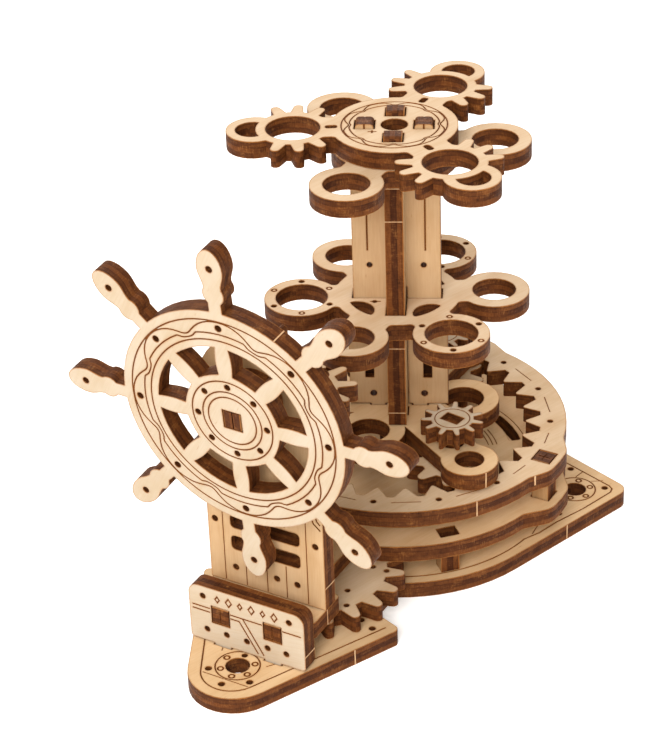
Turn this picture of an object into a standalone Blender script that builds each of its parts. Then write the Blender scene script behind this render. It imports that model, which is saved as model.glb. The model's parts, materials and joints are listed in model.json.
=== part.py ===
"""A plywood desk organiser: a ship's wheel on a tower turns a carousel of pen rings through wooden gears.

Every piece is cut from one sheet, so plan sizes are given in sheet thicknesses and plate() turns them into
metres. The origin is on the carousel's axis at the underside of the base, and the wheel faces -Y.
"""
import math
import bmesh
import bpy

# ---- driving dimensions -------------------------------------------------------------------------------
SHEET = 0.004            # thickness of the plywood, metres
GAP = 0.075              # clearance between pieces that touch, in sheets (0.3 mm)
ARC_ERROR = 0.010        # how far a chord may stray from its arc, in sheets

BASE_RADIUS = 9.32
BASE_BACK_RADIUS = 9.68
BASE_EAR = (11.90, 5.97, 0.70)           # x, y and rounding of the ear's corner
BASE_NOSE = (0.0, -24.75, 2.55)          # where the nose's edges would meet, and its rounding
BASE_SHOULDER = (6.22, -11.95, 0.30)
BASE_WAIST = 4.0
FOOT_HOLE = 0.664
FOOT_HOLES = ((9.09, 4.50), (-9.09, 4.50), (0.0, -18.667))

DECK_Z = 2.45
DECK_RADIUS = 9.30
DECK_BACK_RADIUS = 9.57
DECK_SLOT = (6.84, 0.33, 39.0, 62.5)     # radius, half width, start and end in degrees
DECK_LOBE = (10.25, 6.4, 14.6)           # radius, half span of its top and of its foot in degrees
NECK_HALF = 1.85
TRAY_HALF = 3.50
TRAY_BACK = -13.60
TRAY_FRONT = -16.50
TENON_X = 1.60
TENON_HALF = 0.50

RING_Z = 4.95
RING_RADIUS = 9.57
RING_LOBE = (10.12, 6.3, 13.8)
RING_TEETH = 30
RING_TOOTH_TIP = 7.14                    # before its corner is rounded
RING_TOOTH_ROOT = 8.10
RING_VALLEY = 1.4                        # half span of the flat between two teeth, in degrees
POST_RADIUS = 9.15
POST_HALF = (0.50, 0.52)
DECK_POST = (8.30, 44.0)                 # radius and angle below the X axis
DECK_POST_HALF = (0.43, 0.53)

BOARD_FRONT = -17.58
BOARD_HALF = 3.55
BOARD_TOP = 4.63
BOARD_TABS = (1.05, 2.05)                # near and far side of the tabs that stand in the base
TOWER_FRONT = -15.23
TOWER_HALF = 3.55
TOWER_ARCH_Z = 15.85
REAR_PLATE_FRONT = -13.20
SHELF_Z = 11.75
BOSS_FRONT = -16.30
BOSS_RADIUS = 1.60
WHEEL_BORE = 0.90

WHEEL_PLACE = (0.0, -17.689, 15.846)     # middle of the wheel's front face
WHEEL_TILT = 5.5                         # the loose axle sags forward by this many degrees
WHEEL_YAW = -1.6                         # and stands askew by this many, seen from above
WHEEL_PHASE = 1.4
WHEEL_HANDLES = 8
RIM_OUTER = 6.55
RIM_INNER = 4.43
WHEEL_HUB = 2.76
SPOKE_HALF = (0.40, 0.38)                # half width at the hub and at the rim
SPOKE_SWELL = 0.08                       # what the middle of a spoke has more
HANDLE_NECK = 0.37
HANDLE_BEAD = (7.60, 0.62)               # where the bead sits along the handle, and its radius
GRIP_MIDDLE = 9.0
GRIP_LENGTH = 1.2
GRIP_HALF = 0.75
HANDLE_HOLE = (9.086, 0.20)
AXLE_HALF = 0.50                         # half side of the square axles
WHEEL_GEAR_DEPTH = 3.88                  # front face of the wheel gear behind the wheel's front face

TRANSFER_Y = -10.60
TRANSFER_BORE = 0.82
DRIVE_Z = 1.12                           # underside of the two gears below the deck
DRIVE_PITCH = 10.60 / 45                 # pitch radius per tooth of those two gears
CAROUSEL_TEETH = 25
TRANSFER_TEETH = 20
DRIVE_MESH_ANGLE = 4.0                   # a transfer tooth stands this far past the line of centres
CROWN_TEETH = 10
CROWN_Z = 13.0
CROWN_TIP = 2.85
CROWN_ROOT = 1.85
CROWN_LEAN = 4.5                         # at rest the meeting tooth stands this far to the left of the middle
WHEEL_GEAR_LEAN = 7.4                    # the same for the wheel gear, whose middle stands askew
WHEEL_GEAR_TIP = 2.90
WHEEL_GEAR_ROOT = 1.80

PIN_RADIUS = 0.50
SPINDLE_RADIUS = 1.20
SPINDLE_DISCS = 4
CAROUSEL_TURN = 0.8                      # how far the carousel stands round from its neutral position
CARRIER_Z = 6.20
CARRIER_RING = (3.65, 2.07, 1.19)        # distance, outer radius and hole of an inner ring
CARRIER_ARM = (7.40, 1.60, 0.82)         # the same for the ring at an arm's end
CARRIER_ARM_HALF = 1.24
CARRIER_TURN = -0.9                      # the lower platform sits a little askew on the column
PLANET_RADIUS = 5.40
PLANET_TEETH = 9
PLANET_Z = 4.95
PLANET_SLACK = 2.0                       # at rest a planet stands this far round within its backlash
PINION_TEETH = 11
PINION_Z = 7.75
PLANET_AXLE_HALF = (0.50, 0.325)
PLANET_BORE = 0.68

PINION_PHASE = 12.0                      # of the pinion beside the +X axis
PLANET_AXLE_TURN = -7.7

PLANK_TURN = 25.5
PLANK_WIDE = 2.80
PLANK_NARROW = 2.45
PLANK_FOOT_TENON = (0.80, 1.60)
PLANK_HEAD_TENON = (1.10, 2.10)
PLANK_LAP_Z = 14.85
PLANK_PROUD = 0.24                       # how far the head tenons stand above the top plate
PLANK_HEAD_ROUND = 0.20

MID_Z = 13.22
MID_HUB = 3.55
MID_PLAIN = (5.41, 1.98, 1.22)
MID_RIVETED = (5.37, 2.11, 1.469)
MID_WINDOW = (1.93, 2.82, 20.0, 41.3)    # inner and outer radius, half span and angle past a plank
TOP_HUB = 3.45
TOP_LOWER_Z = 22.55
TOP_UPPER_Z = 23.62
TOP_PLAIN = (5.43, 1.98, 1.265)
TOP_GEAR_RING = (5.46, 2.01, 1.487)
TOP_TOOTH_TIP = 2.90
TOP_TOOTH_ANGLES = (69.2, 96.9, 124.6)
TOP_LOOP = (7.54, 1.54)
TOP_LOOP_HOLE = (7.645, 0.93)
TOP_CENTRE_HOLE = 0.739
TOP_PEG = (3.40, 0.33, 0.19)             # distance, half length and half width
TOP_TURN = 0.2
RING_NECK = 1.22
NOTCH = 0.26                             # rounding where a neck meets its ring and its hub

FACE_COLOUR = (0.72, 0.53, 0.33, 1.0)
GEAR_COLOUR = (0.66, 0.47, 0.28, 1.0)
WHEEL_COLOUR = (0.80, 0.62, 0.41, 1.0)
AXLE_COLOUR = (0.48, 0.30, 0.16, 1.0)


# ---- outlines -----------------------------------------------------------------------------------------
def polar(radius, angle, centre=(0.0, 0.0)):
    turn = math.radians(angle)
    return (centre[0] + radius * math.cos(turn), centre[1] + radius * math.sin(turn))


def arc(centre, radius, start, end):
    """Points of an arc in degrees, with both ends; the step follows from ARC_ERROR."""
    step = 2 * math.degrees(math.acos(1 - ARC_ERROR / radius))
    count = max(2, math.ceil(abs(end - start) / step))
    return [polar(radius, start + (end - start) * i / count, centre) for i in range(count + 1)]


def circle(centre, radius):
    return arc(centre, radius, 0, 360)[:-1]


def turned(points, angle, centre=(0.0, 0.0)):
    """The points turned about the origin by an angle in degrees, then moved by centre."""
    cos = math.cos(math.radians(angle))
    sin = math.sin(math.radians(angle))
    return [(centre[0] + x * cos - y * sin, centre[1] + x * sin + y * cos) for x, y in points]


def rectangle(centre, half_x, half_y, angle=0.0):
    corners = [(-half_x, -half_y), (half_x, -half_y), (half_x, half_y), (-half_x, half_y)]
    return turned(corners, angle, centre)


def rounded(corners):
    """An outline from corners (x, y, radius); a radius of 0 keeps the corner sharp."""
    points = []
    for i, (x, y, radius) in enumerate(corners):
        if radius == 0:
            points.append((x, y))
            continue
        before = corners[i - 1]
        after = corners[(i + 1) % len(corners)]
        come = math.atan2(y - before[1], x - before[0])
        leave = math.atan2(after[1] - y, after[0] - x)
        bend = (leave - come + math.pi) % (2 * math.pi) - math.pi
        side = math.copysign(1, bend)
        setback = radius * math.tan(abs(bend) / 2)
        middle = (x - setback * math.cos(come) - side * radius * math.sin(come),
                  y - setback * math.sin(come) + side * radius * math.cos(come))
        start = math.degrees(come - side * math.pi / 2)
        points += arc(middle, radius, start, start + math.degrees(bend))
    return points


def sharp(points):
    return [(x, y, 0) for x, y in points]


def mirrored(corners):
    """Corners (x, y, radius) of a right half, followed by the same corners of the left half."""
    left = [(-x, y, radius) for x, y, radius in reversed(corners) if x > 0]
    return corners + left


def crossing(radius, other_radius, distance):
    """Angle in degrees, at a circle's centre, from the line of centres to where another circle crosses it."""
    cosine = (radius ** 2 + distance ** 2 - other_radius ** 2) / (2 * radius * distance)
    return math.degrees(math.acos(cosine))


def tooth(root, tip, root_half, tip_half):
    """A tooth with a round end that points along +X, from its clockwise to its counter-clockwise flank."""
    foot = math.sqrt(root ** 2 - root_half ** 2)
    return [(foot, -root_half)] + arc((tip - tip_half, 0), tip_half, -80, 80) + [(foot, root_half)]


def gear(centre, teeth, root, tip, root_half, tip_half, phase):
    """A gear outline whose first tooth points along phase degrees."""
    profile = tooth(root, tip, root_half, tip_half)
    points = []
    for k in range(teeth):
        points += turned(profile, phase + 360 * k / teeth, centre)
    return points


def ring_lobe(distance, radius):
    """A ring on a neck that points along +X."""
    side = 180 - math.degrees(math.asin(RING_NECK / radius))
    return arc((distance, 0), radius, -side, side)


def notched(points):
    """Corners from points, of which the first and the last are rounded."""
    return [(x, y, 0 if 0 < i < len(points) - 1 else NOTCH) for i, (x, y) in enumerate(points)]


def hub_with_lobes(hub, lobes):
    """A disc with lobes, given as (angle, points along +X), in order of angle."""
    half = math.degrees(math.asin(RING_NECK / hub))
    corners = []
    for i, (angle, lobe) in enumerate(lobes):
        following = lobes[(i + 1) % len(lobes)][0]
        gap_end = following if following > angle else following + 360
        corners += notched(turned(lobe, angle))
        corners += notched(arc((0, 0), hub, angle + half, gap_end - half))
    return rounded(corners)


def lobe_corners(lobe, angle, before, after):
    """Corners of one wider stretch of a disc, with slopes down to the disc's radius before and after it."""
    top_radius, top, foot = lobe
    return [(*polar(before, angle - foot), 0.4), (*polar(top_radius, angle - top), 1.2),
            (*polar(top_radius, angle), 0),
            (*polar(top_radius, angle + top), 1.2), (*polar(after, angle + foot), 0.4)]


def disc_with_lobes(front, back, lobe):
    """Corners of a disc's back half with wider stretches at its sides and its back."""
    corners = lobe_corners(lobe, 0, front, back)
    corners += sharp(arc((0, 0), back, lobe[2], 90 - lobe[2])[1:-1])
    corners += lobe_corners(lobe, 90, back, back)
    corners += sharp(arc((0, 0), back, 90 + lobe[2], 180 - lobe[2])[1:-1])
    return corners + lobe_corners(lobe, 180, back, front)


def curved_slot(radius, half_width, start, end):
    """A slot along an arc about the origin, with rounded corners."""
    corners = []
    for side, first, last in ((1, start, end), (-1, end, start)):
        points = arc((0, 0), radius + side * half_width, first, last)
        corners += [(x, y, 0.12 if i in (0, len(points) - 1) else 0) for i, (x, y) in enumerate(points)]
    return rounded(corners)


# ---- solids -------------------------------------------------------------------------------------------
def clear_scene():
    for item in list(bpy.data.objects):
        bpy.data.objects.remove(item)


def wood(name, colour):
    material = bpy.data.materials.new(name)
    material.use_nodes = True
    shader = material.node_tree.nodes["Principled BSDF"]
    shader.inputs["Base Color"].default_value = colour
    shader.inputs["Roughness"].default_value = 0.62
    shader.inputs["Metallic"].default_value = 0.0
    return material


def axis_empty(name, place, turn=(0, 0, 0), parent=None):
    """An empty on a joint's axis; its Z axis is the joint's axis."""
    empty = bpy.data.objects.new(name, None)
    empty.empty_display_size = 2 * SHEET
    empty.location = [value * SHEET for value in place]
    empty.rotation_euler = [math.radians(angle) for angle in turn]
    empty.parent = parent
    model.objects.link(empty)
    return empty


def plate(name, loops, place, colour=FACE_COLOUR, thickness=1.0, turn=(0, 0, 0), parent=None):
    """A flat piece cut from the sheet: outline and holes in sheets, place is the middle of its underside."""
    curve = bpy.data.curves.new(name + "_outline", "CURVE")
    curve.dimensions = "2D"
    curve.fill_mode = "BOTH"
    curve.extrude = thickness * SHEET / 2
    for loop in loops:
        spline = curve.splines.new("POLY")
        spline.points.add(len(loop) - 1)
        for point, (x, y) in zip(spline.points, loop):
            point.co = (x * SHEET, y * SHEET, 0, 1)
        spline.use_cyclic_u = True
    outline = bpy.data.objects.new(name + "_outline", curve)
    bpy.context.scene.collection.objects.link(outline)
    ready = outline.evaluated_get(bpy.context.evaluated_depsgraph_get())
    mesh = bpy.data.meshes.new_from_object(ready)
    bpy.data.objects.remove(outline)
    bpy.data.curves.remove(curve)
    shell = bmesh.new()
    shell.from_mesh(mesh)
    bmesh.ops.remove_doubles(shell, verts=shell.verts, dist=0.000001)
    bmesh.ops.translate(shell, verts=shell.verts, vec=(0, 0, thickness * SHEET / 2))
    bmesh.ops.recalc_face_normals(shell, faces=shell.faces)
    shell.to_mesh(mesh)
    shell.free()
    mesh.shade_smooth()
    mesh.set_sharp_from_angle(angle=math.radians(35))
    mesh.name = name
    mesh.materials.clear()
    mesh.materials.append(wood(name, colour))
    piece = bpy.data.objects.new(name, mesh)
    piece.location = [value * SHEET for value in place]
    piece.rotation_euler = [math.radians(angle) for angle in turn]
    piece.parent = parent
    model.objects.link(piece)
    return piece


def upright(name, loops, front, colour=FACE_COLOUR):
    """A plate that stands across Y: its outline is in X and Z, and its front face is at Y = front."""
    return plate(name, loops, (0, front + 1, 0), colour, turn=(90, 0, 0))


# ---- the frame ----------------------------------------------------------------------------------------
def make_base():
    waist_angle = -math.degrees(math.acos(BASE_WAIST / BASE_RADIUS))
    ear_angle = -18.9
    back_angle = 70.0
    right = [BASE_NOSE, BASE_SHOULDER, (BASE_WAIST, -11.15, 0.30)]
    right += sharp(arc((0, 0), BASE_RADIUS, waist_angle, ear_angle))
    right.append(BASE_EAR)
    right += sharp(arc((0, 0), BASE_BACK_RADIUS, back_angle, 90))
    loops = [rounded(mirrored(right))]
    loops += [circle(centre, FOOT_HOLE) for centre in FOOT_HOLES]
    loops.append(circle((0, 0), PIN_RADIUS + GAP))
    loops.append(circle((0, TRANSFER_Y), TRANSFER_BORE))
    near, far = BOARD_TABS
    for side in (-1, 1):
        middle = (side * (near + far) / 2, BOARD_FRONT + 0.5)
        loops.append(rectangle(middle, (far - near) / 2 + GAP, 0.5 + GAP))
    plate("base_plate", loops, (0, 0, 0))
    plate("centre_pin", [circle((0, 0), PIN_RADIUS)], (0, 0, 0), AXLE_COLOUR, CARRIER_Z - GAP)


def post_windows():
    half_x = POST_HALF[0] + GAP
    half_y = POST_HALF[1] + GAP
    return [rectangle(polar(POST_RADIUS, angle), half_x, half_y, angle) for angle in (0, 90, 180)]


def deck_slots():
    return [rectangle(polar(DECK_POST[0], angle), 0.44, 0.55, angle)
            for angle in (-DECK_POST[1], DECK_POST[1] - 180)]


def make_deck():
    disc = disc_with_lobes(DECK_RADIUS, DECK_BACK_RADIUS, DECK_LOBE)
    neck_angle = math.degrees(math.acos(NECK_HALF / DECK_RADIUS))
    left_edge = sharp(arc((0, 0), DECK_RADIUS, 180 + DECK_LOBE[2], 180 + neck_angle)[1:])
    right_edge = sharp(arc((0, 0), DECK_RADIUS, -neck_angle, -DECK_LOBE[2])[:-1])
    tray = [(TRAY_HALF, TRAY_FRONT, 0.25), (TRAY_HALF, TRAY_BACK, 0.25), (NECK_HALF, TRAY_BACK, 0.4)]
    tenon = [(TENON_X - TENON_HALF, TRAY_FRONT, 0), (TENON_X - TENON_HALF, BOARD_FRONT, 0),
             (TENON_X + TENON_HALF, BOARD_FRONT, 0), (TENON_X + TENON_HALF, TRAY_FRONT, 0)]
    front = tenon + tray
    left_front = [(-x, y, radius) for x, y, radius in reversed(front)]
    loops = [rounded(disc + left_edge + left_front + front + right_edge)]
    loops += post_windows() + deck_slots()
    radius, half_width, start, end = DECK_SLOT
    loops += [curved_slot(radius, half_width, start + 90 * k, end + 90 * k) for k in range(4)]
    loops.append(circle((0, 0), SPINDLE_RADIUS + 0.2))
    loops.append(circle((0, TRANSFER_Y), TRANSFER_BORE))
    plate("deck_plate", loops, (0, 0, DECK_Z))


def make_ring_gear():
    front = arc((0, 0), RING_RADIUS, 180 + RING_LOBE[2], 360 - RING_LOBE[2])[1:-1]
    outline = rounded(disc_with_lobes(RING_RADIUS, RING_RADIUS, RING_LOBE) + sharp(front))
    teeth = []
    for k in range(RING_TEETH):
        angle = 360 * k / RING_TEETH
        valley = angle + 180 / RING_TEETH
        teeth.append((*polar(RING_TOOTH_TIP, angle), 0.12))
        teeth.append((*polar(RING_TOOTH_ROOT, valley - RING_VALLEY), 0))
        teeth.append((*polar(RING_TOOTH_ROOT, valley + RING_VALLEY), 0))
    plate("ring_gear_plate", [outline, rounded(teeth)] + post_windows(), (0, 0, RING_Z), GEAR_COLOUR)


def make_posts():
    height = RING_Z + 1 - DECK_Z
    for name, angle in (("right", 0), ("back", 90), ("left", 180)):
        outline = rectangle(polar(POST_RADIUS, angle), POST_HALF[0], POST_HALF[1], angle)
        plate("ring_post_" + name, [outline], (0, 0, DECK_Z), AXLE_COLOUR, thickness=height)
    for name, angle in (("right", -DECK_POST[1]), ("left", DECK_POST[1] - 180)):
        outline = rectangle(polar(DECK_POST[0], angle), DECK_POST_HALF[0], DECK_POST_HALF[1], angle)
        plate("deck_post_" + name, [outline], (0, 0, 1 + GAP), AXLE_COLOUR, DECK_Z - 1 - 2 * GAP)


def make_name_board():
    bottom = 1 + GAP
    near, far = BOARD_TABS
    tab = [(near, bottom, 0), (near, 0, 0), (far, 0, 0), (far, bottom, 0)]
    corners = tab + [(BOARD_HALF, bottom, 0.2), (BOARD_HALF, BOARD_TOP, 0.6)]
    half = TENON_HALF + GAP
    loops = [rounded(mirrored(corners))]
    loops += [rectangle((x, DECK_Z + 0.5), half, half) for x in (-TENON_X, TENON_X)]
    upright("name_board", loops, BOARD_FRONT)


def wheel_axis_z(y):
    """Height of the wheel's tilted axis at a place along Y."""
    return WHEEL_PLACE[2] + (y - WHEEL_PLACE[1]) * math.tan(math.radians(WHEEL_TILT))


def make_tower():
    bottom = DECK_Z + 1 + GAP
    sides = [(TOWER_HALF, bottom)] + arc((0, TOWER_ARCH_Z), TOWER_HALF, 0, 180) + [(-TOWER_HALF, bottom)]
    loops = [sides, circle((0.05, wheel_axis_z(TOWER_FRONT + 0.5)), WHEEL_BORE)]
    for low, high in ((7.15, 8.0), (5.75, 6.65)):
        loops.append(rounded([(-2.15, low, 0.25), (2.10, low, 0.25), (2.10, high, 0.25), (-2.15, high, 0.25)]))
    upright("tower_front_plate", loops, TOWER_FRONT)
    boss = circle((0, wheel_axis_z(BOSS_FRONT + 0.5)), BOSS_RADIUS)
    bore = circle((0, wheel_axis_z(BOSS_FRONT + 0.5)), WHEEL_BORE)
    upright("wheel_bearing_boss", [boss, bore], BOSS_FRONT - GAP / 2)
    rear_half = NECK_HALF - 0.05
    rear = [(rear_half, bottom), (rear_half, SHELF_Z - GAP), (-rear_half, SHELF_Z - GAP), (-rear_half, bottom)]
    upright("tower_rear_plate", [rear], REAR_PLATE_FRONT)
    shelf_front = TOWER_FRONT + 1 + GAP
    shelf = rounded([(-1.2, shelf_front, 0), (1.2, shelf_front, 0), (1.2, -9.4, 0.5), (-1.2, -9.4, 0.5)])
    plate("bearing_shelf", [shelf, circle((0, TRANSFER_Y), TRANSFER_BORE)], (0, 0, SHELF_Z))


# ---- the wheel ----------------------------------------------------------------------------------------
def handle_side():
    """The upper edge of a handle along +X, from the rim to the tip."""
    bead_x, bead = HANDLE_BEAD
    start = 180 - math.degrees(math.asin(HANDLE_NECK / bead))
    end = math.degrees(math.asin(0.82))
    foot = math.sqrt(RIM_OUTER ** 2 - HANDLE_NECK ** 2)
    points = [(foot, HANDLE_NECK)] + arc((bead_x, 0), bead, start, end)
    waist_x, waist = points[-1]
    for i in range(1, 5):
        part = i / 5
        swell = (1 - math.cos(math.pi * part)) / 2
        points.append((waist_x + (GRIP_MIDDLE - waist_x) * part, waist + (GRIP_HALF - waist) * swell))
    for i in range(7):
        turn = math.radians(90 - 15 * i)
        points.append((GRIP_MIDDLE + GRIP_LENGTH * math.cos(turn), GRIP_HALF * math.sin(turn)))
    return points


def spoke_side():
    """The upper edge of a spoke along +X, from the hub to the rim."""
    points = []
    for i in range(7):
        part = i / 6
        half = SPOKE_HALF[0] + (SPOKE_HALF[1] - SPOKE_HALF[0]) * part + SPOKE_SWELL * math.sin(math.pi * part)
        points.append((WHEEL_HUB + (RIM_INNER - WHEEL_HUB) * part, half))
    return points


def make_wheel(axis):
    upper = handle_side()
    lower = [(x, -y) for x, y in upper[:-1]]
    profile = lower + list(reversed(upper))
    spoke_upper = spoke_side()
    spoke_lower = [(x, -y) for x, y in reversed(spoke_upper)]
    half = math.degrees(math.asin(HANDLE_NECK / RIM_OUTER))
    step = 360 / WHEEL_HANDLES
    rim = []
    loops = []
    for k in range(WHEEL_HANDLES):
        angle = WHEEL_PHASE + step * k
        rim += turned(profile, angle)
        rim += arc((0, 0), RIM_OUTER, angle + half, angle + step - half)[1:-1]
        rim_leave = math.degrees(math.atan(SPOKE_HALF[1] / RIM_INNER))
        hub_leave = math.degrees(math.atan(SPOKE_HALF[0] / WHEEL_HUB))
        window = turned(spoke_upper, angle)
        window += arc((0, 0), RIM_INNER, angle + rim_leave, angle + step - rim_leave)[1:-1]
        window += turned(spoke_lower, angle + step)
        window += arc((0, 0), WHEEL_HUB, angle + step - hub_leave, angle + hub_leave)[1:-1]
        loops.append(window)
        loops.append(circle(polar(HANDLE_HOLE[0], angle), HANDLE_HOLE[1]))
    loops.append(rectangle((0, 0), AXLE_HALF + GAP, AXLE_HALF + GAP))
    plate("ship_wheel", [rim] + loops, (0, 0, -1), WHEEL_COLOUR, parent=axis)


def make_wheel_train(axis):
    square = rectangle((0, 0), AXLE_HALF, AXLE_HALF)
    bore = rectangle((0, 0), AXLE_HALF + GAP, AXLE_HALF + GAP)
    depth = WHEEL_GEAR_DEPTH
    plate("wheel_axle", [square], (0, 0, -depth - 1.7), AXLE_COLOUR, depth + 1.7, parent=axis)
    teeth = gear((0, 0), CROWN_TEETH, WHEEL_GEAR_ROOT, WHEEL_GEAR_TIP, 0.32, 0.22, -90 - WHEEL_GEAR_LEAN)
    plate("wheel_gear", [teeth, bore], (0, 0, -depth - 1), GEAR_COLOUR, parent=axis)
    plate("wheel_collar", [circle((0, 0), 1.0), bore], (0, 0, -depth - 1.6), GEAR_COLOUR, 0.5, parent=axis)


# ---- the transfer shaft -------------------------------------------------------------------------------
def make_transfer_train(axis):
    square = rectangle((0, 0), AXLE_HALF, AXLE_HALF)
    bore = rectangle((0, 0), AXLE_HALF + GAP, AXLE_HALF + GAP)
    plate("transfer_axle", [square], (0, 0, GAP), AXLE_COLOUR, CROWN_Z + 1.5 - GAP, parent=axis)
    pitch = DRIVE_PITCH * TRANSFER_TEETH
    phase = 90 + DRIVE_MESH_ANGLE
    teeth = gear((0, 0), TRANSFER_TEETH, pitch - 0.53, pitch + 0.47, 0.46, 0.28, phase)
    plate("lower_transfer_gear", [teeth, bore], (0, 0, DRIVE_Z), GEAR_COLOUR, parent=axis)
    half_pitch = 180 / CROWN_TEETH
    teeth = gear((0, 0), CROWN_TEETH, CROWN_ROOT, CROWN_TIP, 0.32, 0.24, -90 - CROWN_LEAN + half_pitch)
    plate("upper_transfer_gear", [teeth, bore], (0, 0, CROWN_Z), GEAR_COLOUR, parent=axis)


# ---- the carousel -------------------------------------------------------------------------------------
def make_spindle(axis):
    pitch = DRIVE_PITCH * CAROUSEL_TEETH
    aside = DRIVE_PITCH * TRANSFER_TEETH * math.sin(math.radians(DRIVE_MESH_ANGLE))
    lean = math.degrees(math.asin(aside / pitch))
    phase = -90 - lean + 180 / CAROUSEL_TEETH
    bore = circle((0, 0), PIN_RADIUS + GAP)
    teeth = gear((0, 0), CAROUSEL_TEETH, pitch - 0.55, pitch + 0.47, 0.38, 0.20, phase)
    plate("carousel_gear", [teeth, bore], (0, 0, DRIVE_Z), GEAR_COLOUR, parent=axis)
    first = DRIVE_Z + 1
    share = (CARRIER_Z - first - GAP) / SPINDLE_DISCS
    for k in range(SPINDLE_DISCS):
        bottom = first + GAP + share * k
        disc = [circle((0, 0), SPINDLE_RADIUS), bore]
        plate("spindle_disc_%d" % (k + 1), disc, (0, 0, bottom), GEAR_COLOUR, share - GAP, parent=axis)


def plank_windows(tenon):
    """Windows for the tenons of both planks."""
    middle = (tenon[0] + tenon[1]) / 2
    half = (tenon[1] - tenon[0]) / 2 + GAP
    angles = [PLANK_TURN + 90 * k for k in range(4)]
    return [rectangle(polar(middle, angle), half, 0.5 + GAP, angle) for angle in angles]


def make_carrier(axis):
    ring_x, ring_outer, ring_hole = CARRIER_RING
    arm_x, arm_outer, arm_hole = CARRIER_ARM
    offset = ring_x * math.sin(math.radians(60)) - CARRIER_ARM_HALF
    leave = math.degrees(math.asin(offset / ring_outer))
    tip = 180 - math.degrees(math.asin(CARRIER_ARM_HALF / arm_outer))
    outline = []
    loops = []
    for k in range(3):
        arm_angle = 90 + CARRIER_TURN + 120 * k
        planet_angle = 90 + CAROUSEL_TURN + 120 * k
        ring_angle = arm_angle + 60
        outline += turned(arc((arm_x, 0), arm_outer, -tip, tip), arm_angle)
        centre = polar(ring_x, ring_angle)
        outline += arc(centre, ring_outer, ring_angle - 60 - leave, ring_angle + 60 + leave)
        loops.append(circle(polar(arm_x, arm_angle), arm_hole))
        loops.append(circle(polar(ring_x, ring_angle), ring_hole))
        loops.append(circle(polar(PLANET_RADIUS, planet_angle), PLANET_BORE))
    loops += plank_windows(PLANK_FOOT_TENON)
    plate("lower_platform", [outline] + loops, (0, 0, CARRIER_Z), parent=axis)


def make_column(axis):
    low = CARRIER_Z + 1 + GAP
    shoulder = MID_Z - GAP
    high = TOP_LOWER_Z - GAP
    crown = TOP_UPPER_Z + 1 + PLANK_PROUD
    foot_in, foot_out = PLANK_FOOT_TENON
    head_in, head_out = PLANK_HEAD_TENON
    foot = [(foot_in, low), (foot_in, CARRIER_Z), (foot_out, CARRIER_Z), (foot_out, low)]
    flank = [(PLANK_WIDE, low), (PLANK_WIDE, shoulder), (PLANK_NARROW, shoulder), (PLANK_NARROW, high)]
    head = [(head_out, high, 0), (head_out, crown, PLANK_HEAD_ROUND)]
    head += [(head_in, crown, PLANK_HEAD_ROUND), (head_in, high, 0)]
    lap = 0.5 + GAP
    lap_below = [(lap, PLANK_LAP_Z + GAP), (lap, low)]
    lap_above = [(lap, high), (lap, PLANK_LAP_Z - GAP)]
    halves = (("a", PLANK_TURN, sharp(lap_below + foot + flank) + head),
              ("b", PLANK_TURN + 90, sharp(foot + flank) + head + sharp(lap_above)))
    for letter, angle, half in halves:
        loops = [rounded(mirrored(half))]
        for side in (-1, 1):
            loops.append(circle((1.5 * side, 16.3), 0.17))
            loops.append(circle((1.45 * side, 7.95), 0.20))
        across = polar(0.5, angle + 90)
        plate("column_plank_" + letter, loops, (across[0], across[1], 0), turn=(90, 0, angle), parent=axis)


def make_mid_platform(axis):
    lobes = []
    loops = []
    for k in range(6):
        angle = 30 + CAROUSEL_TURN + 60 * k
        distance, outer, hole = MID_RIVETED if k % 2 else MID_PLAIN
        lobes.append((angle, ring_lobe(distance, outer)))
        loops.append(circle(polar(distance, angle), hole))
    cross = []
    reach = PLANK_NARROW + GAP
    half = 0.5 + GAP
    inner, outer, span, past = MID_WINDOW
    chord = outer * math.cos(math.radians(span))
    half_chord = outer * math.sin(math.radians(span))
    bulge = chord - inner
    bulge_radius = (half_chord ** 2 + bulge ** 2) / (2 * bulge)
    lean = math.degrees(math.asin(half_chord / bulge_radius))
    lens = arc((0, 0), outer, -span, span)
    lens += arc((inner + bulge_radius, 0), bulge_radius, 180 - lean, 180 + lean)[1:-1]
    tips = (0, len(arc((0, 0), outer, -span, span)) - 1)
    window = rounded([(x, y, 0.10 if i in tips else 0) for i, (x, y) in enumerate(lens)])
    for k in range(4):
        angle = PLANK_TURN + 90 * k
        cross += turned([(reach, -half), (reach, half), (half, half)], angle)
        loops.append(turned(window, angle + past))
    plate("mid_platform", [hub_with_lobes(MID_HUB, lobes), cross] + loops, (0, 0, MID_Z), parent=axis)


def geared_ring_lobe():
    """A pen ring with gear teeth on both sides and an open loop at its outer end, pointing along +X."""
    ring_x, root, hole = TOP_GEAR_RING
    loop_x, loop = TOP_LOOP
    centre = (ring_x, 0)
    side = 180 - math.degrees(math.asin(RING_NECK / root))
    join = crossing(root, loop, loop_x - ring_x)
    loop_join = 180 - crossing(loop, root, loop_x - ring_x)
    profile = tooth(root, TOP_TOOTH_TIP, 0.36, 0.27)
    upper = arc((loop_x, 0), loop, 0, loop_join)
    last = join
    for angle in TOP_TOOTH_ANGLES:
        half = math.degrees(math.asin(0.36 / root))
        upper += arc(centre, root, last, angle - half)[1:-1]
        upper += turned(profile, angle, centre)
        last = angle + half
    upper += arc(centre, root, last, side)[1:]
    lower = [(x, -y) for x, y in upper[1:]]
    return list(reversed(lower)) + upper


def loop_window():
    """The opening of a loop, cut short where the geared ring's rim crosses it."""
    ring_x, root, hole = TOP_GEAR_RING
    hole_x, radius = TOP_LOOP_HOLE
    near = 180 - crossing(radius, root, hole_x - ring_x)
    rim = crossing(root, radius, hole_x - ring_x)
    return arc((hole_x, 0), radius, -near, near) + arc((ring_x, 0), root, rim, -rim)[1:-1]


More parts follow.
